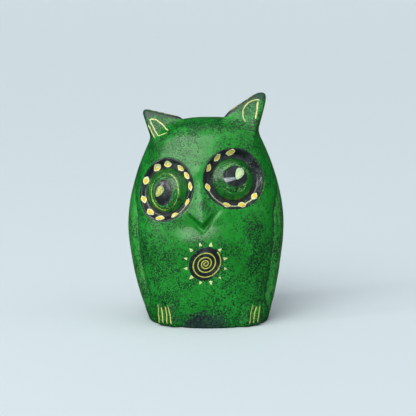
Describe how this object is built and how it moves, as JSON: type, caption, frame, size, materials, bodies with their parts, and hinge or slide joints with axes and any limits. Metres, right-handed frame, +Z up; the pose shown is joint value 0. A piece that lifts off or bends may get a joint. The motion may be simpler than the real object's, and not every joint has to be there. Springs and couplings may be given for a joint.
{
  "type": "owl figurine",
  "caption": "Small seated owl figurine of carved, green-painted and varnished stone, with sunk dark eye rings, domed eyes, short ear tufts, folded wings, etched marks and a flat base.",
  "frame": {"origin": "middle of the flat base, on the surface the owl stands on", "axes": "+Z up, the face looks along -Y, +X is the viewer's right"},
  "size_m": [0.0598, 0.046, 0.0885],
  "materials": {
    "green_stone": "green paint sponged with dark specks over carved soft stone, glossy varnish",
    "wing_green": "green paint brushed along the wing, darker toward the back, glossy varnish",
    "iris_green": "green paint with dry-brushed rings, glossy varnish",
    "dark_paint": "blue-black paint, glossy varnish",
    "etched_yellow": "knife-scraped line down to yellow ground and pale stone",
    "etched_cream": "knife-scraped line down to pale stone"
  },
  "bodies": {
    "root": {"body": "green_stone", "left_wing": "wing_green", "right_wing": "wing_green", "left_ear_tuft": "green_stone", "right_ear_tuft": "green_stone", "beak": "green_stone", "left_foot": "green_stone", "right_foot": "green_stone", "left_eye_ring": "dark_paint", "right_eye_ring": "dark_paint", "left_iris": "iris_green", "right_iris": "iris_green", "left_iris_ring": "etched_yellow", "left_pupil": "dark_paint", "right_pupil": "dark_paint", "left_glint": "etched_cream", "right_glint": "etched_cream", "left_eye_marks": "etched_yellow", "right_eye_marks": "etched_yellow", "left_ear_strokes": "etched_cream", "right_ear_strokes": "etched_cream", "chest_disc": "dark_paint", "chest_spiral": "etched_yellow", "chest_rays": "etched_cream", "left_claws": "etched_yellow", "right_claws": "etched_yellow"}
  },
  "joints": []
}
